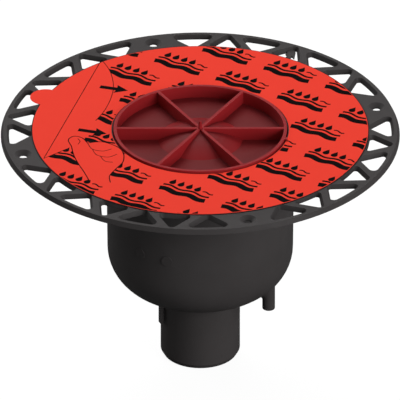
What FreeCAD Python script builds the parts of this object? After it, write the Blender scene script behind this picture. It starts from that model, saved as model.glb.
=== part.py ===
import FreeCAD, Part
import math
import os

# Floor drain for a tiled floor. A moulded body has a lattice flange, a round
# bowl and an upright outlet spigot. A trap insert hangs in the bowl. A release
# film covers the flange's bonding ring, and a site cap closes the throat.
# The origin is the centre of the spigot's lower end, and +Z runs up the axis.
# Lengths are in millimetres and angles in degrees. An azimuth is measured from
# +X towards +Y, and a depth is measured down from the flange's top face.

# Drain body
body_height = 159.6
flange_radius = 125.0
flange_thickness = 3.0
edge_run = 1.42            # how far each flange edge slopes outward over the thickness
bowl_radius = 59.05        # outside, where the bowl meets the flange
bowl_wall = 4.0
bowl_draft = 0.5
bowl_straight_depth = 82.8
bowl_floor_radius = 31.05  # of the bowl's flat floor, inside its rounded corner
bowl_root_fillet = 1.5
throat_depth = 20.0        # the throat's bore has no draft down to here
spigot_radius = 25.0
spigot_wall = 2.4
spigot_draft = 0.5         # of the stretch above the part that goes into the pipe's socket
spigot_lead_height = 2.85
spigot_lead_run = 1.6
outlet_rounding = 1.5

# Lattice of the flange, as seen on its top face
quarter_count = 4
screw_azimuth = 15.0
screw_inset = 10.5         # from the flange's outer edge to the screw circle
screw_hole_radius = 2.4
screw_head_radius = 5.2
screw_sink_depth = 2.2
openings_per_quarter = 7
opening_pitch = 10.77
lattice_rim_width = 2.4
lattice_depth = 16.2       # radial depth of the band of openings
strut_width = 4.0
strut_lean = 38.1
strut_crossing_inset = 12.9  # from the flange's outer edge to where the struts cross
opening_tip_radius = 1.5   # on the underside, where the openings are smallest
opening_corner_radius = 1.7

# Small moulded features of the body
seat_rib_count = 4
seat_rib_azimuth = 45.0
seat_rib_width = 3.0
seat_rib_reach = 4.5
pin_radius = 4.0
pin_inset = 8.95           # from the bowl's outside to the pin's axis
pin_azimuth = -31.0
pin_drop = 4.1             # how far the pin reaches below the bowl's floor
pin_fillet = 1.6
pin_end_rounding = 0.6
fin_azimuth = 202.0
fin_thickness = 3.6
fin_reach = 2.6
fin_drop = 23.9
fin_slant = 2.4
fin_plug_gap = 0.25        # between the fin and the socket's stretch of the spigot
boss_radius = 3.6
boss_height = 0.35
boss_depth = 63.3
boss_azimuths = (230.0, 249.2)
tag_azimuth = 60.0
tag_thickness = 1.2
tag_outline = (            # distance in from the flange's edge, offset towards larger azimuth
    (4.5, 3.0), (6.5, -1.1), (14.0, -4.4), (12.5, -1.7), (15.7, -2.0),
    (15.7, 1.0), (13.0, 1.0), (11.9, 3.2), (10.0, 2.6), (8.5, 5.5),
)

# Bonding ring and release film
film_lap = 0.2             # how far the film laps over the band of openings
film_hole_margin = 0.55    # from the throat to the film's hole
film_thickness = 0.15
bond_inset = 1.4           # from the film's hole to the bonding ring
bond_proud = 0.6
bond_thickness = 0.3
tab_radius = 9.9
tab_offset = 0.1           # of the tab's centre beyond the film's edge
tab_azimuth = 157.2

# Site cap
cap_clearance = 0.65
cap_wall = 2.0
cap_proud = 1.6
cap_recess = 8.1           # from the rib tops down to the cap's floor
cap_floor_thickness = 2.0
cap_rib_count = 6
cap_rib_width = 2.0
cap_dome_radius = 26.5
cap_dome_height = 6.4
cap_dome_peak = 1.3        # of the small cone that carries the centre pin
cap_dome_peak_radius = 7.0
cap_lip_clearance = 0.3
cap_lip_height = 1.6
cap_lip_rise = 3.0
cap_pin_radius = 1.5
cap_pin_tip_radius = 0.9
cap_pin_height = 4.9
nib_azimuth = -13.7
nib_width = 2.2
nib_reach = 1.6
nib_height = 0.8

# Trap insert
trap_clearance = 0.35
trap_rim_height = 6.0
trap_rim_width = 5.2
trap_wall = 2.0
seal_section = 3.5
seal_gap = 0.05
groove_play = 0.2
tube_radius = 24.0         # outside of the dip tube
funnel_drop = 13.0         # height of the funnel's cone
grip_width = 4.0
grip_height = 7.0
grip_recess = 1.0
hold_fin_count = 3
hold_fin_azimuth = 90.0
hold_fin_width = 2.4
hold_fin_gap = 0.3
cup_radius = 36.0
cup_wall = 2.0
cup_rim_depth = 38.0
cup_tube_gap = 9.0         # under the dip tube, where the water turns
cup_foot_count = 3
cup_foot_azimuth = 30.0
cup_foot_height = 7.1
cup_foot_width = 5.0
cup_foot_length = 5.5
cup_foot_inset = 0.2       # from the outer edge of the bowl's flat floor
cup_rib_width = 2.4
cup_rib_height = 17.0
cup_rib_clearance = 0.3

# Levels and radii that follow from the sizes above
flange_top = body_height
flange_bottom = flange_top - flange_thickness
arc_level = flange_top - bowl_straight_depth
bowl_low_radius = bowl_radius - (flange_bottom - arc_level) * math.tan(math.radians(bowl_draft))
bowl_corner_radius = bowl_low_radius - bowl_floor_radius
floor_bottom = arc_level - bowl_corner_radius
floor_top = floor_bottom + bowl_wall
pin_circle_radius = bowl_radius - pin_inset
throat_radius = bowl_radius - bowl_wall
spigot_bore_radius = spigot_radius - spigot_wall
plug_level = floor_bottom - fin_drop - fin_plug_gap
spigot_root_radius = spigot_radius + (floor_bottom - plug_level) * math.tan(math.radians(spigot_draft))
lattice_outer_radius = flange_radius - edge_run - lattice_rim_width
lattice_inner_radius = lattice_outer_radius - lattice_depth
strut_crossing_radius = flange_radius - strut_crossing_inset
screw_circle_radius = flange_radius - screw_inset
seat_level = flange_top - throat_depth
trap_rim_top = seat_level + trap_rim_height
trap_rim_radius = throat_radius - trap_clearance
film_radius = lattice_inner_radius + film_lap
film_hole_radius = throat_radius + film_hole_margin
bond_inner_radius = film_hole_radius + bond_inset
bond_outer_radius = film_radius + bond_proud
bond_top = flange_top + bond_thickness
film_top = bond_top + film_thickness
cap_radius = throat_radius - cap_clearance
cap_top = flange_top + cap_proud
cap_floor_top = cap_top - cap_recess
cap_floor_bottom = cap_floor_top - cap_floor_thickness
cup_floor_bottom = floor_top + cup_foot_height
cup_floor_top = cup_floor_bottom + cup_wall
tube_end_level = cup_floor_top + cup_tube_gap
cup_rim_level = flange_top - cup_rim_depth

Z_AXIS = FreeCAD.Vector(0, 0, 1)
CENTRE = FreeCAD.Vector(0, 0, 0)
OVERSHOOT = 0.2            # how far a cutting tool runs past the face it cuts


def at(radius, height):
    """Point in the half-plane that is turned about the axis."""
    return FreeCAD.Vector(radius, 0, height)


def polar(radius, azimuth, height):
    """Point at a radius and azimuth about the axis."""
    angle = math.radians(azimuth)
    return FreeCAD.Vector(radius * math.cos(angle), radius * math.sin(angle), height)


def line(start, end):
    """Straight edge."""
    return Part.LineSegment(start, end).toShape()


def arc(start, middle, end):
    """Circular edge through three points."""
    return Part.Arc(start, middle, end).toShape()


def quarter_arc(centre, radius, start_angle, end_angle):
    """Edge of a circle in the half-plane, between two angles from +X."""
    points = []
    for angle in (start_angle, (start_angle + end_angle) / 2, end_angle):
        turn = math.radians(angle)
        points.append(at(centre.x + radius * math.cos(turn), centre.z + radius * math.sin(turn)))
    return arc(*points)


def turned(edges):
    """Solid made by turning a closed profile about the axis."""
    return Part.Face(Part.Wire(edges)).revolve(CENTRE, Z_AXIS, 360)


def turned_polygon(corners):
    """Solid made by turning a closed polygon of (radius, height) corners."""
    points = [at(radius, height) for radius, height in corners]
    return turned([line(a, b) for a, b in zip(points, points[1:] + points[:1])])


def ring(inner_radius, outer_radius, bottom, top):
    """Flat ring between two levels."""
    outer = Part.makeCylinder(outer_radius, top - bottom, FreeCAD.Vector(0, 0, bottom))
    hole = Part.makeCylinder(
        inner_radius, top - bottom + 2 * OVERSHOOT, FreeCAD.Vector(0, 0, bottom - OVERSHOOT))
    return outer.cut(hole)


def radial_plate(inner_radius, outer_radius, width, bottom, top, azimuth):
    """Upright plate that runs along a radius."""
    plate = Part.makeBox(
        outer_radius - inner_radius, width, top - bottom,
        FreeCAD.Vector(inner_radius, -width / 2, bottom))
    plate.rotate(CENTRE, Z_AXIS, azimuth)
    return plate


def turned_copies(shape, count, step, start=0.0):
    """Copies of a shape, turned about the axis by equal steps."""
    copies = []
    for index in range(count):
        copy = shape.copy()
        copy.rotate(CENTRE, Z_AXIS, start + index * step)
        copies.append(copy)
    return copies


def one_solid(shape):
    """Single clean solid of a fused or cut shape."""
    clean = shape.removeSplitter()
    solids = clean.Solids
    if len(solids) != 1:
        raise ValueError("expected one solid, found %d" % len(solids))
    return solids[0]


def side_line(outward):
    """Half-angle and apex distance of an opening's straight sides on the top face."""
    half_pitch = math.radians(opening_pitch / 2)
    across = strut_crossing_radius * math.sin(half_pitch)
    along = strut_crossing_radius * math.cos(half_pitch)
    lean = math.radians(strut_lean)
    if outward:
        half_angle = lean + half_pitch
        apex = along - across / math.tan(half_angle) + strut_width / 2 / math.sin(half_angle)
    else:
        half_angle = lean - half_pitch
        apex = along + across / math.tan(half_angle) - strut_width / 2 / math.sin(half_angle)
    return half_angle, apex


def opening_wire(outward, inset, level):
    """Outline of a lattice opening about +X, drawn in from its top outline by inset."""
    half_angle, apex = side_line(outward)
    sense = 1.0 if outward else -1.0
    apex += sense * inset / math.sin(half_angle)
    wide_radius = (lattice_outer_radius if outward else lattice_inner_radius) - sense * inset
    tip = opening_tip_radius + edge_run - inset
    corner = opening_corner_radius + edge_run - inset
    tip_centre = apex + sense * tip / math.sin(half_angle)

    # The corner's centre is one corner radius inside the side and the wide edge.
    reach = wide_radius - sense * corner
    slope = sense * math.tan(half_angle)
    shift = -slope * apex - corner / math.cos(half_angle)
    square = 1 + slope * slope
    product = slope * shift
    corner_x = (-product + math.sqrt(product * product - square * (shift * shift - reach * reach))) / square
    corner_y = slope * corner_x + shift

    def point(x, y):
        return FreeCAD.Vector(x, y, level)

    def around(x, y, radius, angle):
        return point(x + radius * math.cos(angle), y + radius * math.sin(angle))

    side_turn = math.pi / 2 + half_angle if outward else math.pi / 2 - half_angle
    wide_turn = math.atan2(corner_y, corner_x)
    if not outward:
        wide_turn += math.pi
    middle_turn = (side_turn + wide_turn) / 2
    tip_turn = 0.0 if not outward else math.pi
    side_tip = around(tip_centre, 0, tip, side_turn)
    side_corner = around(corner_x, corner_y, corner, side_turn)
    corner_middle = around(corner_x, corner_y, corner, middle_turn)
    wide_end = around(corner_x, corner_y, corner, wide_turn)

    def mirrored(vector):
        return FreeCAD.Vector(vector.x, -vector.y, vector.z)

    edges = [
        line(side_tip, side_corner),
        arc(side_corner, corner_middle, wide_end),
        arc(wide_end, point(wide_radius, 0), mirrored(wide_end)),
        arc(mirrored(wide_end), mirrored(corner_middle), mirrored(side_corner)),
        line(mirrored(side_corner), mirrored(side_tip)),
        arc(mirrored(side_tip), around(tip_centre, 0, tip, tip_turn), side_tip),
    ]
    return Part.Wire(edges)


def opening_cutter(outward):
    """Tapered plug that cuts one opening through the flange."""
    spread = edge_run * OVERSHOOT / flange_thickness
    upper = opening_wire(outward, -spread, flange_top + OVERSHOOT)
    lower = opening_wire(outward, edge_run + spread, flange_bottom - OVERSHOOT)
    return Part.makeLoft([upper, lower], True, True)


def screw_cutter():
    """Countersunk screw hole about +Z at its place on the screw circle."""
    top = flange_top + OVERSHOOT
    spread = (screw_head_radius - screw_hole_radius) * OVERSHOOT / screw_sink_depth
    corners = (
        (0, top), (screw_head_radius + spread, top),
        (screw_hole_radius, flange_top - screw_sink_depth),
        (screw_hole_radius, flange_bottom - OVERSHOOT), (0, flange_bottom - OVERSHOOT),
    )
    cutter = turned_polygon(corners)
    cutter.translate(FreeCAD.Vector(screw_circle_radius, 0, 0))
    return cutter


def body_shell():
    """Flange, bowl and spigot as one turned wall."""
    inner_corner = bowl_corner_radius - bowl_wall
    arc_centre = at(bowl_floor_radius, arc_level)
    root_low = at(bowl_radius, flange_bottom - bowl_root_fillet)
    root_centre = at(bowl_radius + bowl_root_fillet, flange_bottom - bowl_root_fillet)
    bore_top = floor_top - outlet_rounding
    edges = [
        line(at(throat_radius, flange_top), at(flange_radius - edge_run, flange_top)),
        line(at(flange_radius - edge_run, flange_top), at(flange_radius, flange_bottom)),
        line(at(flange_radius, flange_bottom), at(bowl_radius + bowl_root_fillet, flange_bottom)),
        quarter_arc(root_centre, bowl_root_fillet, 90, 180),
        line(root_low, at(bowl_low_radius, arc_level)),
        quarter_arc(arc_centre, bowl_corner_radius, 0, -90),
        line(at(bowl_floor_radius, floor_bottom), at(spigot_root_radius, floor_bottom)),
        line(at(spigot_root_radius, floor_bottom), at(spigot_radius, plug_level)),
        line(at(spigot_radius, plug_level), at(spigot_radius, spigot_lead_height)),
        line(at(spigot_radius, spigot_lead_height), at(spigot_radius - spigot_lead_run, 0)),
        line(at(spigot_radius - spigot_lead_run, 0), at(spigot_bore_radius, 0)),
        line(at(spigot_bore_radius, 0), at(spigot_bore_radius, bore_top)),
        quarter_arc(at(spigot_bore_radius + outlet_rounding, bore_top), outlet_rounding, 180, 90),
        line(at(spigot_bore_radius + outlet_rounding, floor_top), at(bowl_floor_radius, floor_top)),
        quarter_arc(arc_centre, inner_corner, -90, 0),
        line(at(bowl_floor_radius + inner_corner, arc_level), at(throat_radius, seat_level)),
        line(at(throat_radius, seat_level), at(throat_radius, flange_top)),
    ]
    return turned(edges)


def bowl_outside():
    """Filled shape of the bowl, which keeps the seat ribs inside its wall."""
    arc_centre = at(bowl_floor_radius, arc_level)
    edges = [
        line(at(0, flange_top), at(throat_radius, flange_top)),
        line(at(throat_radius, flange_top), at(bowl_low_radius, arc_level)),
        quarter_arc(arc_centre, bowl_corner_radius, 0, -90),
        line(at(bowl_floor_radius, floor_bottom), at(0, floor_bottom)),
        line(at(0, floor_bottom), at(0, flange_top)),
    ]
    return turned(edges)


def locating_pin():
    """Round pin under the bowl's rounded corner."""
    bottom = floor_bottom - pin_drop
    end = bottom + pin_end_rounding
    flat = pin_radius - pin_end_rounding
    pin = turned([
        line(at(0, arc_level), at(pin_radius, arc_level)),
        line(at(pin_radius, arc_level), at(pin_radius, end)),
        quarter_arc(at(flat, end), pin_end_rounding, 0, -90),
        line(at(flat, bottom), at(0, bottom)),
        line(at(0, bottom), at(0, arc_level)),
    ])
    pin.translate(polar(pin_circle_radius, pin_azimuth, 0))
    return pin


def outlet_fin():
    """Short fin on the spigot, with a slanted lower end."""
    inner = spigot_radius - spigot_wall / 2
    outer = spigot_radius + fin_reach
    bottom = floor_bottom - fin_drop
    corners = [
        at(inner, floor_bottom + bowl_wall / 2), at(outer, floor_bottom + bowl_wall / 2),
        at(outer, bottom), at(inner, bottom + fin_slant),
    ]
    fin = Part.Face(Part.makePolygon(corners + corners[:1])).extrude(FreeCAD.Vector(0, fin_thickness, 0))
    fin.translate(FreeCAD.Vector(0, -fin_thickness / 2, 0))
    fin.rotate(CENTRE, Z_AXIS, fin_azimuth)
    return fin


def wall_boss(azimuth):
    """Low round boss on the outside of the bowl's wall."""
    level = flange_top - boss_depth
    wall_radius = bowl_radius - (flange_bottom - level) * math.tan(math.radians(bowl_draft))
    start = polar(wall_radius - bowl_wall / 2, azimuth, level)
    direction = polar(1, azimuth, 0)
    return Part.makeCylinder(boss_radius, bowl_wall / 2 + boss_height, start, direction)


def lattice_tag():
    """Small jagged tag that was moulded into one opening."""
    corners = [FreeCAD.Vector(flange_radius - inset, across, flange_bottom) for inset, across in tag_outline]
    tag = Part.Face(Part.makePolygon(corners + corners[:1])).extrude(FreeCAD.Vector(0, 0, tag_thickness))
    tag.rotate(CENTRE, Z_AXIS, tag_azimuth)
    return tag


def drain_body():
    """Moulded body: flange, lattice, bowl, spigot and their small features."""
    body = body_shell()
    seat_rib = radial_plate(
        throat_radius - seat_rib_reach, bowl_radius, seat_rib_width, floor_bottom, seat_level, 0)
    seat_rib = seat_rib.common(bowl_outside())
    step = 360.0 / seat_rib_count
    ribs = turned_copies(seat_rib, seat_rib_count, step, seat_rib_azimuth)
    body = one_solid(body.fuse(ribs + [outlet_fin()] + [wall_boss(a) for a in boss_azimuths]))
    body = one_solid(body.fuse(locating_pin().cut(bowl_outside())))
    body = body.makeFillet(pin_fillet, pin_root_edges(body))

    quarter = 360.0 / quarter_count
    middle = (openings_per_quarter - 1) / 2
    cutters = turned_copies(screw_cutter(), quarter_count, quarter, screw_azimuth)
    for index in range(openings_per_quarter):
        place = index - middle
        outward = (index % 2) == 0
        start = screw_azimuth + quarter / 2 + place * opening_pitch
        cutters += turned_copies(opening_cutter(outward), quarter_count, quarter, start)
    return one_solid(one_solid(body.cut(cutters)).fuse(lattice_tag()))


def pin_root_edges(body):
    """Edges where the round pin meets the bowl."""
    axis = polar(pin_circle_radius, pin_azimuth, 0)
    roots = []
    for edge in body.Edges:
        box = edge.BoundBox
        spread = math.hypot(box.Center.x - axis.x, box.Center.y - axis.y)
        if spread < pin_radius / 2 and box.ZMin > floor_bottom and box.ZLength > pin_radius / 2:
            if abs(box.XLength - 2 * pin_radius) < pin_radius / 2:
                roots.append(edge)
    return roots


def bonding_ring():
    """Thin bonding layer between the flange and the film."""
    return ring(bond_inner_radius, bond_outer_radius, flange_top, bond_top)


def release_film():
    """Peel-off film with a round pull tab."""
    film = ring(film_hole_radius, film_radius, bond_top, film_top)
    tab = Part.makeCylinder(
        tab_radius, film_thickness, polar(film_radius + tab_offset, tab_azimuth, bond_top))
    return one_solid(film.fuse(tab))


def dome_edge(height):
    """Arc of the cap's shallow dome, from the axis down to its foot."""
    sphere_radius = (cap_dome_radius ** 2 + cap_dome_height ** 2) / (2 * cap_dome_height)
    middle_radius = cap_dome_radius / 2
    drop = sphere_radius - math.sqrt(sphere_radius ** 2 - middle_radius ** 2)
    peak = height + cap_dome_height
    return arc(at(0, peak), at(middle_radius, peak - drop), at(cap_dome_radius, height))


def site_cap():
    """Ribbed plug that closes the throat while the floor is laid."""
    inner = cap_radius - cap_wall
    bottom = trap_rim_top
    lip_radius = throat_radius - cap_lip_clearance
    lip_low = bottom + cap_lip_rise
    foot = cap_dome_radius
    edges = [
        dome_edge(cap_floor_top),
        line(at(foot, cap_floor_top), at(inner, cap_floor_top)),
        line(at(inner, cap_floor_top), at(inner, cap_top)),
        line(at(inner, cap_top), at(cap_radius, cap_top)),
        line(at(cap_radius, cap_top), at(cap_radius, lip_low + cap_lip_height)),
        line(at(cap_radius, lip_low + cap_lip_height), at(lip_radius, lip_low)),
        line(at(lip_radius, lip_low), at(cap_radius, lip_low)),
        line(at(cap_radius, lip_low), at(cap_radius, bottom)),
        line(at(cap_radius, bottom), at(inner, bottom)),
        line(at(inner, bottom), at(inner, cap_floor_bottom)),
        line(at(inner, cap_floor_bottom), at(foot, cap_floor_bottom)),
        dome_edge(cap_floor_bottom),
        line(at(0, cap_floor_bottom + cap_dome_height), at(0, cap_floor_top + cap_dome_height)),
    ]
    cap = turned(edges)
    ribs = turned_copies(
        radial_plate(0, cap_radius - cap_wall / 2, cap_rib_width, cap_floor_top - cap_floor_thickness / 2,
                     cap_top, 0), cap_rib_count, 360.0 / cap_rib_count)
    hollow = turned([
        dome_edge(cap_floor_bottom),
        line(at(foot, cap_floor_bottom), at(0, cap_floor_bottom)),
        line(at(0, cap_floor_bottom), at(0, cap_floor_bottom + cap_dome_height)),
    ])
    nib = radial_plate(
        cap_radius - cap_wall / 2, cap_radius + nib_reach, nib_width, cap_top - nib_height, cap_top, nib_azimuth)
    return one_solid(cap.fuse(ribs + [cap_centre(), nib]).cut(hollow))


def cap_centre():
    """Small cone on the cap's dome, with the upright pin that it carries."""
    foot = cap_floor_top + cap_dome_height - cap_floor_thickness / 2
    rise = (cap_dome_peak + cap_floor_thickness / 2) * (1 - cap_pin_radius / cap_dome_peak_radius)
    tip = cap_top + cap_pin_height
    round_level = tip - cap_pin_tip_radius
    return turned([
        line(at(0, foot), at(cap_dome_peak_radius, foot)),
        line(at(cap_dome_peak_radius, foot), at(cap_pin_radius, foot + rise)),
        line(at(cap_pin_radius, foot + rise), at(cap_pin_tip_radius, round_level)),
        quarter_arc(at(0, round_level), cap_pin_tip_radius, 0, 90),
        line(at(0, tip), at(0, foot)),
    ])


def trap_funnel():
    """Funnel and dip tube of the trap, which hang on the seat ribs."""
    seat_inner = trap_rim_radius - trap_rim_width
    groove_height = seal_section + 2 * groove_play
    groove_radius = throat_radius - 2 * seal_gap - seal_section
    groove_middle = (trap_rim_top + seat_level) / 2
    tube_inner = tube_radius - trap_wall
    cone_low = seat_level - funnel_drop
    wall_rise = trap_wall * math.hypot(seat_inner - tube_radius, funnel_drop) / (seat_inner - tube_radius)
    corners = (
        (trap_rim_radius, trap_rim_top), (trap_rim_radius, groove_middle + groove_height / 2),
        (groove_radius, groove_middle + groove_height / 2), (groove_radius, groove_middle - groove_height / 2),
        (trap_rim_radius, groove_middle - groove_height / 2), (trap_rim_radius, seat_level),
        (seat_inner, seat_level), (tube_radius, cone_low), (tube_radius, tube_end_level),
        (tube_inner, tube_end_level), (tube_inner, cone_low + wall_rise),
        (seat_inner, seat_level + wall_rise), (seat_inner, trap_rim_top),
    )
    funnel = turned_polygon(corners)
    grip = Part.makeBox(
        2 * seat_inner + OVERSHOOT, grip_width, grip_height,
        FreeCAD.Vector(-seat_inner - OVERSHOOT / 2, -grip_width / 2, trap_rim_top - grip_recess - grip_height))
    fin_bottom = cup_rim_level + hold_fin_gap
    fins = turned_copies(
        radial_plate(tube_radius - trap_wall / 2, cup_radius, hold_fin_width, fin_bottom, seat_level, 0)
        .cut(funnel_top_side(cone_low, wall_rise)), hold_fin_count, 360.0 / hold_fin_count, hold_fin_azimuth)
    return one_solid(funnel.fuse([grip] + fins))


def funnel_top_side(cone_low, wall_rise):
    """Space above the middle of the funnel's cone, which the fins stay out of."""
    seat_inner = trap_rim_radius - trap_rim_width
    half = wall_rise / 2
    corners = (
        (0, cone_low + half), (tube_radius, cone_low + half), (seat_inner, seat_level + half),
        (seat_inner, trap_rim_top), (0, trap_rim_top),
    )
    return turned_polygon(corners)


def trap_seal():
    """Round rubber ring in the groove of the funnel's rim."""
    radius = throat_radius - seal_gap - seal_section / 2
    level = (trap_rim_top + seat_level) / 2
    return Part.makeTorus(radius, seal_section / 2, FreeCAD.Vector(0, 0, level))


def trap_cup():
    """Cup that holds the water seal, on feet around the outlet."""
    inner = cup_radius - cup_wall
    corners = (
        (0, cup_floor_bottom), (cup_radius, cup_floor_bottom), (cup_radius, cup_rim_level),
        (inner, cup_rim_level), (inner, cup_floor_top), (0, cup_floor_top),
    )
    cup = turned_polygon(corners)
    foot_outer = bowl_floor_radius - cup_foot_inset
    foot = radial_plate(
        foot_outer - cup_foot_length, foot_outer, cup_foot_width, floor_top, cup_floor_top - cup_wall / 2, 0)
    rib = radial_plate(
        tube_radius + cup_rib_clearance, cup_radius - cup_wall / 2, cup_rib_width,
        cup_floor_top - cup_wall / 2, cup_floor_top + cup_rib_height, 0)
    step = 360.0 / cup_foot_count
    feet = turned_copies(foot, cup_foot_count, step, cup_foot_azimuth)
    ribs = turned_copies(rib, cup_foot_count, step, cup_foot_azimuth)
    return one_solid(cup.fuse(feet + ribs))


os.makedirs("parts", exist_ok=True)
nodes = {
    "drain_body": drain_body,
    "bonding_ring": bonding_ring,
    "release_film": release_film,
    "site_cap": site_cap,
    "trap_funnel": trap_funnel,
    "trap_seal": trap_seal,
    "trap_cup": trap_cup,
}
for name, build in nodes.items():
    shape = build()
    shape.exportStep("parts/%s.step" % name)
    print(name, "volume", round(shape.Volume / 1000, 2), "cm3, valid", shape.isValid())
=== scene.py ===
import math

import bmesh
import bpy
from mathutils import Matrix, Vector


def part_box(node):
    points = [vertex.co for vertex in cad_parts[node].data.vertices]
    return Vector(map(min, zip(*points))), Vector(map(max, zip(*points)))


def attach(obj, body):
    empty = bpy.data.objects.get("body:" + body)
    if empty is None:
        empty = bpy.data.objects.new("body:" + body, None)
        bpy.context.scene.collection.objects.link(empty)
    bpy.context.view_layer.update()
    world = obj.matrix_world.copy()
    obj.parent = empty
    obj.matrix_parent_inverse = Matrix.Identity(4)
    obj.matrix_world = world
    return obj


# Looks of the floor drain: moulded plastics, the printed release film, soft
# studio light and a camera at the photograph's view. Lengths are millimetres
# in the part's own frame and angles are degrees, unless a comment says otherwise.
MM = 0.001

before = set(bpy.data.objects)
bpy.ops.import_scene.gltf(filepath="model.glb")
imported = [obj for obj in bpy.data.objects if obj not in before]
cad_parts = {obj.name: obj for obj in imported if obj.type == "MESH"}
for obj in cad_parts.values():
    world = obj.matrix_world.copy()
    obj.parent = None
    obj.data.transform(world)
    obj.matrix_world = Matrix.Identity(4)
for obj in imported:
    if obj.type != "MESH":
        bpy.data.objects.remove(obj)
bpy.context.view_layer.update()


def top_level(node):
    """Top level of a CAD node."""
    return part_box(node)[1].z / MM


# Places taken from the frame
FLANGE_TOP = top_level("drain_body")
FILM_TOP = top_level("release_film")
FILM_OUTER_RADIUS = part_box("release_film")[1].x / MM
FILM_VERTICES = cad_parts["release_film"].data.vertices
FILM_HOLE_RADIUS = min(vertex.co.xy.length for vertex in FILM_VERTICES) / MM

# Camera, fitted to the drain's outlines in the photograph, which has almost no perspective
IMAGE_SIZE_PX = 400
SENSOR_WIDTH = 36.0
FOCAL_LENGTH_PX = 17526.0
CAMERA_DISTANCE = 11000.0
CAMERA_ELEVATION = 30.2
CAMERA_AIM_X = -0.16
CAMERA_AIM_DEPTH = 50.67   # below the flange's top face
CAMERA_CLIP_START = 1.0    # metres
CAMERA_CLIP_END = 100.0    # metres

# Studio, in metres
LAMP_TARGET = Vector((0, 0, 0.1))
FLOOR_HALF_WIDTH = 6.0

# Most of a noise texture's values lie between these
NOISE_LOW = 0.35
NOISE_HIGH = 0.65

# Site cap, and the shade painted into its recess
CAP_PROUD = 1.6            # of its rim and rib tops above the flange
SHADE_START_DEPTH = 0.4        # below the rib tops, where the painted shade of the recess begins
FULL_SHADE_DEPTH = 1.6         # below the rib tops, from where the painted shade is full
SHADE_START_FACING = 0.88        # upward share of a face's normal where the painted shade begins
FULL_SHADE_FACING = 0.995        # the same where the painted shade is full

# Ink on the film
INK_LIFT = 0.006           # gap between the film and the ink's underside
INK_THICKNESS = 0.03
INK_BOTTOM = FILM_TOP + INK_LIFT
INK_TOP = INK_BOTTOM + INK_THICKNESS
ARROW_LIP = 0.004          # how far the arrows' ink runs past the marks that it crosses
CUTTER_MARGIN = 1.0        # how far a cutter runs past the ink's faces
PRINT_MARGIN = 0.4         # plain strip along the film's edges
OUTER_EDGE_STEPS = 180
HOLE_EDGE_STEPS = 120
CURVE_STEPS = 10           # between two knots of a curve
LINE_WIDTH = 0.42
BOLD_WIDTH = 0.62

# Rows of printed marks
MOTIF_ANGLE = -31.0
MOTIF_STEP = 45.0          # along a row
MOTIF_ROW_STEP = 27.0
MOTIF_STAGGER = 19.0
MOTIF_SHIFT = (4.0, 9.0)
MOTIF_ROWS = range(-5, 6)
MOTIF_COLUMNS = range(-4, 5)
MOTIF_REACH = 18.0         # from a mark's centre to its farthest point, about

# One printed mark: drops over a broad and a narrow wave
WAVE_START = -16.5
WAVE_LENGTH = 33.0
WAVE_HEIGHT = 0.9
WAVE_LEVELS_AND_WIDTHS = ((-3.7, 4.6), (1.3, 1.7))
DROP_PLACES = (-12.5, -6.5, -0.5, 5.5)
DROP_LEVEL = 5.7
DROP_RADIUS = 2.1
DROP_TIP_RISE = 2.15       # from the drop's centre to its tip, in radii
DROP_ROUND_START = 150.0
DROP_ROUND_SWEEP = 240.0

# Peeling pictogram on the film: fold line, turned-over flap, arrows and hand
FOLD_TOP = (-62.2, 88.0)
FOLD_FOOT = (-97.7, -36.2)
FLAP_CURVE = (FOLD_TOP, (-57.0, 74.0), (-54.6, 56.0), (-56.0, 40.0), (-60.0, 24.0), (-65.5, 11.0))
FLAP_TIP = (-83.0, -24.0)
FLAP_TIP_CURVE = (FLAP_CURVE[-1], (-70.0, -1.0), (-75.0, -12.0), FLAP_TIP)
LEFT_OF_FILM = ((-101.0, -60.0), (-130.0, -60.0), (-130.0, 110.0), (-55.0, 110.0))
ARROWS = (((-63.0, 53.8), (-45.5, 48.8)), ((-76.3, -0.3), (-58.6, -5.5)))
THUMB = ((-80.5, -21.0), (-82.5, -13.0), (-79.0, -8.6), (-74.0, -10.5), (-70.5, -17.0))
FINGERS = ((-70.5, -17.0), (-62.0, -15.5), (-55.0, -19.0), (-49.5, -25.0), (-47.6, -33.0))
WRIST = ((-47.6, -33.0), (-48.4, -41.0), (-53.0, -50.0), (-56.5, -58.0), (-56.0, -66.0))
HEEL = ((-69.5, -63.0), (-72.5, -53.0), (-76.0, -43.0), (-79.0, -32.0), (-80.5, -21.0))
FINGER_LINES = (
    ((-70.5, -17.0), (-67.5, -24.5), (-61.0, -27.0), (-55.5, -24.5)),
    ((-67.5, -24.5), (-64.5, -32.0), (-57.5, -34.5), (-52.0, -31.0)),
    ((-62.5, -33.0), (-59.5, -39.5), (-54.5, -41.0)),
    ((-76.5, -11.5), (-75.2, -15.0), (-76.4, -18.5)),
)


# Colours and objects

def srgb(red, green, blue):
    """Linear colour of an 8-bit display colour, with alpha."""
    linear = []
    for value in (red, green, blue):
        share = value / 255
        linear.append(share / 12.92 if share <= 0.04045 else ((share + 0.055) / 1.055) ** 2.4)
    return (*linear, 1.0)


def grey(level):
    """Linear grey, with alpha."""
    return level, level, level, 1.0


def add_object(name, data):
    """New object in the scene."""
    piece = bpy.data.objects.new(name, data)
    bpy.context.scene.collection.objects.link(piece)
    return piece


def add_mesh_object(name, mesh):
    """New object in the scene with this bmesh, which is freed."""
    data = bpy.data.meshes.new(name)
    mesh.to_mesh(data)
    mesh.free()
    return add_object(name, data)


# Shader nodes

def plug(tree, source, target):
    """Links an output to an input, or sets the input where the source is a plain value."""
    if isinstance(source, bpy.types.NodeSocket):
        tree.links.new(source, target)
    else:
        target.default_value = source


def noise(tree, scale, detail=2.0):
    """Noise over the object's own coordinates. The scale counts waves in a metre."""
    coords = tree.nodes.new("ShaderNodeTexCoord")
    texture = tree.nodes.new("ShaderNodeTexNoise")
    texture.inputs["Scale"].default_value = scale
    texture.inputs["Detail"].default_value = detail
    tree.links.new(coords.outputs["Object"], texture.inputs["Vector"])
    return texture.outputs["Fac"]


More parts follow.
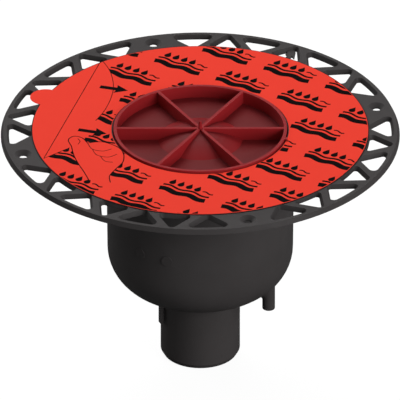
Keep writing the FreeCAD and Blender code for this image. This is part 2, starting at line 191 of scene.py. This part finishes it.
def remap(tree, value, low, high, start=NOISE_LOW, end=NOISE_HIGH):
    """Value stretched from start..end to low..high."""
    node = tree.nodes.new("ShaderNodeMapRange")
    node.inputs["From Min"].default_value = start
    node.inputs["From Max"].default_value = end
    node.inputs["To Min"].default_value = low
    node.inputs["To Max"].default_value = high
    tree.links.new(value, node.inputs["Value"])
    return node.outputs["Result"]


def multiply(tree, first, second):
    """Product of two values, each from a node or a number."""
    node = tree.nodes.new("ShaderNodeMath")
    node.operation = "MULTIPLY"
    plug(tree, first, node.inputs[0])
    plug(tree, second, node.inputs[1])
    return node.outputs["Value"]


def blend_colours(tree, value, first, second):
    """Colour between two colours, each from a node or a fixed one."""
    node = tree.nodes.new("ShaderNodeMix")
    node.data_type = "RGBA"
    plug(tree, first, node.inputs["A"])
    plug(tree, second, node.inputs["B"])
    tree.links.new(value, node.inputs["Factor"])
    return node.outputs["Result"]


def bump(tree, value, strength, distance, normal=None):
    """Normal bumped by a value, on top of another normal if one is given."""
    node = tree.nodes.new("ShaderNodeBump")
    node.inputs["Strength"].default_value = strength
    node.inputs["Distance"].default_value = distance * MM
    tree.links.new(value, node.inputs["Height"])
    if normal is not None:
        tree.links.new(normal, node.inputs["Normal"])
    return node.outputs["Normal"]


# Materials

def new_material(name):
    """Material with its node tree and its principled shader."""
    material = bpy.data.materials.new(name)
    material.use_nodes = True
    tree = material.node_tree
    return material, tree, tree.nodes["Principled BSDF"]


def moulded_plastic(name, dark, light, gloss, sheen, grain=0.1, gloss_spread=0.05):
    """Satin plastic with faint flow marks, uneven gloss and a fine moulded grain."""
    material, tree, shader = new_material(name)
    flow = noise(tree, scale=22.0, detail=4.0)
    plug(tree, blend_colours(tree, remap(tree, flow, 0.0, 1.0), dark, light), shader.inputs["Base Color"])
    patches = noise(tree, scale=60.0, detail=3.0)
    uneven = remap(tree, patches, gloss - gloss_spread, gloss + gloss_spread)
    plug(tree, uneven, shader.inputs["Roughness"])
    plug(tree, sheen, shader.inputs["Specular IOR Level"])
    fine = bump(tree, noise(tree, scale=1800.0), strength=grain, distance=0.02)
    broad = bump(tree, noise(tree, scale=90.0), strength=0.05, distance=0.1, normal=fine)
    plug(tree, broad, shader.inputs["Normal"])
    return material


def recess_shade_mask(tree):
    """Mask of the painted shade in the cap's recess: 1 on its floor, less on its dome's slope, and 0 on its
    walls, ribs and rim.
    """
    coords = tree.nodes.new("ShaderNodeTexCoord")
    facing = tree.nodes.new("ShaderNodeSeparateXYZ")
    place = tree.nodes.new("ShaderNodeSeparateXYZ")
    tree.links.new(coords.outputs["Normal"], facing.inputs["Vector"])
    tree.links.new(coords.outputs["Object"], place.inputs["Vector"])
    rib_top = FLANGE_TOP + CAP_PROUD
    full_shade_level = (rib_top - FULL_SHADE_DEPTH) * MM
    shade_start_level = (rib_top - SHADE_START_DEPTH) * MM
    flat = remap(tree, facing.outputs["Z"], 0.0, 1.0, SHADE_START_FACING, FULL_SHADE_FACING)
    sunken = remap(tree, place.outputs["Z"], 1.0, 0.0, full_shade_level, shade_start_level)
    return multiply(tree, flat, sunken)


def cap_material():
    """Red satin plastic, with shade painted darker on the cap's sunken floor and dome slope than on its
    walls and ribs.
    """
    material = moulded_plastic("cap_plastic", srgb(147, 32, 36), srgb(153, 35, 39),
                               gloss=0.42, sheen=0.4, grain=0.06)
    tree = material.node_tree
    colour = tree.nodes["Principled BSDF"].inputs["Base Color"]
    unshaded_colour = colour.links[0].from_socket
    # Painted shade: the recess's floor and dome slope are blended towards a darker red, standing in for the
    # shade that falls there.
    plug(tree, blend_colours(tree, recess_shade_mask(tree), unshaded_colour, srgb(115, 31, 34)), colour)
    return material


def film_material():
    """Red polyester film, smooth with very faint ripples."""
    material, tree, shader = new_material("film_red")
    tone = noise(tree, scale=35.0, detail=3.0)
    plug(tree, blend_colours(tree, tone, srgb(240, 63, 47), srgb(244, 66, 50)), shader.inputs["Base Color"])
    plug(tree, 0.5, shader.inputs["Roughness"])
    plug(tree, 0.1, shader.inputs["Specular IOR Level"])
    ripples = bump(tree, noise(tree, scale=28.0, detail=1.0), strength=0.12, distance=0.15)
    plug(tree, ripples, shader.inputs["Normal"])
    return material


def ink_material():
    """Black printing ink with slightly uneven cover."""
    material, tree, shader = new_material("ink_black")
    cover = noise(tree, scale=260.0, detail=3.0)
    plug(tree, blend_colours(tree, cover, srgb(7, 7, 7), srgb(12, 11, 11)), shader.inputs["Base Color"])
    plug(tree, remap(tree, noise(tree, scale=150.0), 0.5, 0.6), shader.inputs["Roughness"])
    plug(tree, 0.06, shader.inputs["Specular IOR Level"])
    return material


def rubber_material(name, dark, light):
    """Matt rubber with a fine, dusty grain."""
    material, tree, shader = new_material(name)
    dust = noise(tree, scale=180.0, detail=4.0)
    plug(tree, blend_colours(tree, dust, dark, light), shader.inputs["Base Color"])
    plug(tree, remap(tree, noise(tree, scale=90.0), 0.62, 0.78), shader.inputs["Roughness"])
    grain = bump(tree, noise(tree, scale=1400.0), strength=0.2, distance=0.03)
    plug(tree, grain, shader.inputs["Normal"])
    return material


MATERIALS = {
    "drain_body": moulded_plastic("body_plastic", srgb(64, 61, 61), srgb(69, 66, 66),
                                  gloss=0.44, sheen=0.35),
    "bonding_ring": rubber_material("bonding_black", srgb(24, 23, 23), srgb(34, 32, 32)),
    "release_film": film_material(),
    "site_cap": cap_material(),
    "trap_funnel": moulded_plastic("trap_plastic", srgb(196, 198, 197), srgb(208, 209, 208),
                                   gloss=0.4, sheen=0.4),
    "trap_seal": rubber_material("seal_rubber", srgb(22, 22, 22), srgb(34, 33, 33)),
}
MATERIALS["trap_cup"] = MATERIALS["trap_funnel"]

for node, material in MATERIALS.items():
    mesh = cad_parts[node].data
    mesh.materials.clear()
    mesh.materials.append(material)


# Lines and closed outlines in plan, as lists of points

def bezier(start, first, second, end, steps):
    """Points along a cubic curve."""
    points = []
    for index in range(steps + 1):
        t = index / steps
        s = 1 - t
        weights = (s ** 3, 3 * s * s * t, 3 * s * t * t, t ** 3)
        corners = (start, first, second, end)
        points.append(tuple(sum(w * c[axis] for w, c in zip(weights, corners)) for axis in (0, 1)))
    return points


def smooth_line(knots):
    """Points along a smooth curve through the knots."""
    ends = [knots[0], *knots, knots[-1]]
    points = [knots[0]]
    for before, start, end, after in zip(ends, ends[1:], ends[2:], ends[3:]):
        lead = [start[axis] + (end[axis] - before[axis]) / 6 for axis in (0, 1)]
        trail = [end[axis] - (after[axis] - start[axis]) / 6 for axis in (0, 1)]
        points += bezier(start, lead, trail, end, CURVE_STEPS)[1:]
    return points


def stroke(points, width):
    """Closed outline of a line of even width."""
    left, right = [], []
    for index, point in enumerate(points):
        before = points[max(index - 1, 0)]
        after = points[min(index + 1, len(points) - 1)]
        along = Vector((after[0] - before[0], after[1] - before[1])).normalized()
        side = Vector((-along.y, along.x)) * width / 2
        left.append((point[0] + side.x, point[1] + side.y))
        right.append((point[0] - side.x, point[1] - side.y))
    return left + right[::-1]


def circle(radius, steps):
    """Closed round outline about the drain's axis."""
    return [(radius * math.cos(2 * math.pi * index / steps),
             radius * math.sin(2 * math.pi * index / steps)) for index in range(steps)]


def drop(centre, radius, steps=20):
    """Closed outline of an upright water drop."""
    points = []
    for index in range(steps + 1):
        angle = math.radians(DROP_ROUND_START + DROP_ROUND_SWEEP * index / steps)
        points.append((centre[0] + radius * math.cos(angle), centre[1] + radius * math.sin(angle)))
    points.append((centre[0], centre[1] + DROP_TIP_RISE * radius))
    return points


def wave(start, length, level, height, width, waves, steps=36):
    """Closed outline of a wavy band."""
    line = []
    for index in range(steps + 1):
        t = index / steps
        line.append((start + length * t, level + height * math.sin(2 * math.pi * waves * t)))
    return stroke(line, width)


def placed(outline, centre, angle):
    """Outline turned by an angle and moved to a place."""
    c, s = math.cos(math.radians(angle)), math.sin(math.radians(angle))
    return [(centre[0] + c * x - s * y, centre[1] + s * x + c * y) for x, y in outline]


def arrow(tail, tip, shaft=3.5, head_width=10.0, head_length=7.4, barb=0.7):
    """Closed outline of a straight arrow."""
    length = math.dist(tail, tip)
    angle = math.degrees(math.atan2(tip[1] - tail[1], tip[0] - tail[0]))
    neck = length - head_length
    outline = [(0, -shaft / 2), (neck, -shaft / 2), (neck - barb, -head_width / 2), (length, 0),
               (neck - barb, head_width / 2), (neck, shaft / 2), (0, shaft / 2)]
    return placed(outline, tail, angle)


def motif():
    """Outlines of one printed mark: four drops over two long waves, and a short wave beside the drops."""
    shapes = [wave(WAVE_START, WAVE_LENGTH, level, WAVE_HEIGHT, width, waves=2.0)
              for level, width in WAVE_LEVELS_AND_WIDTHS]
    shapes += [drop((x, DROP_LEVEL), DROP_RADIUS) for x in DROP_PLACES]
    shapes.append(wave(start=9.5, length=7.5, level=5.4, height=0.7, width=1.1, waves=1.0, steps=20))
    return shapes


def mark_places():
    """Centres of the marks that reach onto the film, in staggered rows."""
    places = []
    for row in MOTIF_ROWS:
        for column in MOTIF_COLUMNS:
            along = column * MOTIF_STEP + row * MOTIF_STAGGER
            place = placed([(along, row * MOTIF_ROW_STEP)], MOTIF_SHIFT, MOTIF_ANGLE)[0]
            if FILM_HOLE_RADIUS - MOTIF_REACH < math.hypot(*place) < FILM_OUTER_RADIUS + MOTIF_REACH:
                places.append(place)
    return places


def plain_area():
    """Closed outline of the film's plain part: the turned-over flap and all left of it."""
    return [*smooth_line(FLAP_CURVE), *smooth_line(FLAP_TIP_CURVE), FOLD_FOOT, *LEFT_OF_FILM]


def hand_lines():
    """Lines round a simple hand that holds the flap's tip: thumb, fingers, wrist and heel."""
    return [smooth_line(knots) for knots in (THUMB, FINGERS, WRIST, HEEL)]


def hand_area():
    """Closed outline of the hand."""
    thumb, fingers, wrist, heel = hand_lines()
    return thumb + fingers[1:] + wrist[1:] + heel


# Ink on the film

def slab(name, outlines, bottom, top):
    """Object of flat slabs with these outlines, still in millimetres."""
    mesh = bmesh.new()
    for outline in outlines:
        face = mesh.faces.new([mesh.verts.new((x, y, bottom)) for x, y in outline])
        face.normal_update()
        if face.normal.z > 0:
            face.normal_flip()
        made = bmesh.ops.extrude_face_region(mesh, geom=[face])
        raised = [item for item in made["geom"] if isinstance(item, bmesh.types.BMVert)]
        bmesh.ops.translate(mesh, verts=raised, vec=(0, 0, top - bottom))
    bmesh.ops.recalc_face_normals(mesh, faces=mesh.faces[:])
    return add_mesh_object(name, mesh)


def cut(piece, tool, operation):
    """Applies a boolean of one object with another, which is deleted."""
    modifier = piece.modifiers.new("cut", "BOOLEAN")
    modifier.operation = operation
    modifier.solver = "EXACT"
    modifier.object = tool
    bpy.context.view_layer.update()
    result = bpy.data.meshes.new_from_object(piece.evaluated_get(bpy.context.evaluated_depsgraph_get()))
    piece.modifiers.clear()
    old = piece.data
    piece.data = result
    bpy.data.meshes.remove(old)
    bpy.data.objects.remove(tool)


def finish_ink(piece, material):
    """Scales an ink object to metres, colours it and fixes it to the drain."""
    for vertex in piece.data.vertices:
        vertex.co *= MM
    piece.data.materials.clear()
    piece.data.materials.append(material)
    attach(piece, "drain")


def film_marks():
    """Repeated marks, cut off at the film's edges, the flap and the hand."""
    outlines = [placed(shape, place, MOTIF_ANGLE) for place in mark_places() for shape in motif()]
    marks = slab("film_marks", outlines, INK_BOTTOM, INK_TOP)
    cutters = (
        ("print_area", circle(FILM_OUTER_RADIUS - PRINT_MARGIN, OUTER_EDGE_STEPS), "INTERSECT"),
        ("print_hole", circle(FILM_HOLE_RADIUS + PRINT_MARGIN, HOLE_EDGE_STEPS), "DIFFERENCE"),
        ("print_flap", plain_area(), "DIFFERENCE"),
        ("print_hand", hand_area(), "DIFFERENCE"),
    )
    for name, outline, operation in cutters:
        cutter = slab(name, [outline], INK_BOTTOM - CUTTER_MARGIN, INK_TOP + CUTTER_MARGIN)
        cut(marks, cutter, operation)
    return marks


def film_pictogram():
    """Fold line, flap edges and hand of the peeling pictogram."""
    edges = ([FOLD_TOP, FOLD_FOOT], smooth_line(FLAP_CURVE), [FOLD_FOOT, FLAP_TIP])
    lines = [stroke(line, LINE_WIDTH) for line in edges]
    lines += [stroke(line, BOLD_WIDTH) for line in hand_lines()]
    lines += [stroke(smooth_line(knots), LINE_WIDTH) for knots in FINGER_LINES]
    return slab("film_pictogram", lines, INK_BOTTOM, INK_TOP)


def film_arrows():
    """Arrows of the peeling pictogram, a little thicker than the marks that they cross."""
    outlines = [arrow(tail, tip) for tail, tip in ARROWS]
    return slab("film_arrows", outlines, INK_BOTTOM - ARROW_LIP, INK_TOP + ARROW_LIP)


ink = ink_material()
for piece in (film_marks(), film_pictogram(), film_arrows()):
    finish_ink(piece, ink)


# Studio

def camera():
    """Camera at the photograph's view, far off with a long lens."""
    data = bpy.data.cameras.new("camera")
    data.sensor_width = SENSOR_WIDTH
    data.lens = FOCAL_LENGTH_PX * SENSOR_WIDTH / IMAGE_SIZE_PX
    data.clip_start = CAMERA_CLIP_START
    data.clip_end = CAMERA_CLIP_END
    piece = add_object("camera", data)
    aim = Vector((CAMERA_AIM_X, 0, FLANGE_TOP - CAMERA_AIM_DEPTH))
    rise = math.radians(CAMERA_ELEVATION)
    back = Vector((0, -math.cos(rise), math.sin(rise)))
    piece.location = (aim + back * CAMERA_DISTANCE) * MM
    piece.rotation_euler = (math.pi / 2 - rise, 0, 0)
    bpy.context.scene.camera = piece


def softbox(name, azimuth, elevation, distance, size, watts, mirrored=True):
    """Square area lamp that points at the drain. Its distance and size are in metres."""
    data = bpy.data.lights.new(name, "AREA")
    data.size = size
    data.energy = watts
    piece = add_object(name, data)
    turn, rise = math.radians(azimuth), math.radians(elevation)
    out = Vector((math.cos(turn) * math.cos(rise), math.sin(turn) * math.cos(rise), math.sin(rise)))
    piece.location = LAMP_TARGET + out * distance
    piece.rotation_euler = out.to_track_quat("Z", "Y").to_euler()
    piece.visible_glossy = mirrored


def studio_world(fill):
    """Even grey light all round, which the camera sees as white."""
    world = bpy.data.worlds.new("studio")
    world.use_nodes = True
    tree = world.node_tree
    background = tree.nodes["Background"]
    background.inputs["Color"].default_value = grey(1)
    path = tree.nodes.new("ShaderNodeLightPath")
    strength = remap(tree, path.outputs["Is Camera Ray"], fill, 1.0, start=0.0, end=1.0)
    tree.links.new(strength, background.inputs["Strength"])
    bpy.context.scene.world = world


def floor(shade, dim_shade, own_light, glow_strength):
    """Wide pale floor, which stays white to the camera, keeps a faint shadow and throws little light up."""
    mesh = bmesh.new()
    bmesh.ops.create_grid(mesh, x_segments=1, y_segments=1, size=FLOOR_HALF_WIDTH)
    piece = add_mesh_object("floor", mesh)
    material, tree, shader = new_material("floor_pale")
    plug(tree, 0.9, shader.inputs["Roughness"])
    plug(tree, 0.0, shader.inputs["Specular IOR Level"])
    path = tree.nodes.new("ShaderNodeLightPath")
    seen = path.outputs["Is Camera Ray"]
    plug(tree, blend_colours(tree, seen, grey(dim_shade), grey(shade)), shader.inputs["Base Color"])
    glow = tree.nodes.new("ShaderNodeEmission")
    plug(tree, grey(1), glow.inputs["Color"])
    plug(tree, glow_strength, glow.inputs["Strength"])
    mix = tree.nodes.new("ShaderNodeMixShader")
    plug(tree, multiply(tree, seen, own_light), mix.inputs["Fac"])
    tree.links.new(shader.outputs["BSDF"], mix.inputs[1])
    tree.links.new(glow.outputs["Emission"], mix.inputs[2])
    tree.links.new(mix.outputs["Shader"], tree.nodes["Material Output"].inputs["Surface"])
    piece.data.materials.append(material)


camera()
studio_world(fill=0.15)
softbox("lamp_top", azimuth=95, elevation=45, distance=3.0, size=1.8, watts=66.0, mirrored=False)
softbox("lamp_right", azimuth=-45, elevation=18, distance=2.5, size=1.4, watts=48.0, mirrored=False)
softbox("lamp_left", azimuth=150, elevation=10, distance=2.5, size=1.6, watts=18.0, mirrored=False)
softbox("lamp_back", azimuth=122, elevation=38, distance=2.5, size=2.0, watts=6.5)
floor(shade=0.95, dim_shade=0.08, own_light=0.9, glow_strength=1.05)

bpy.context.scene.view_settings.view_transform = "Standard"
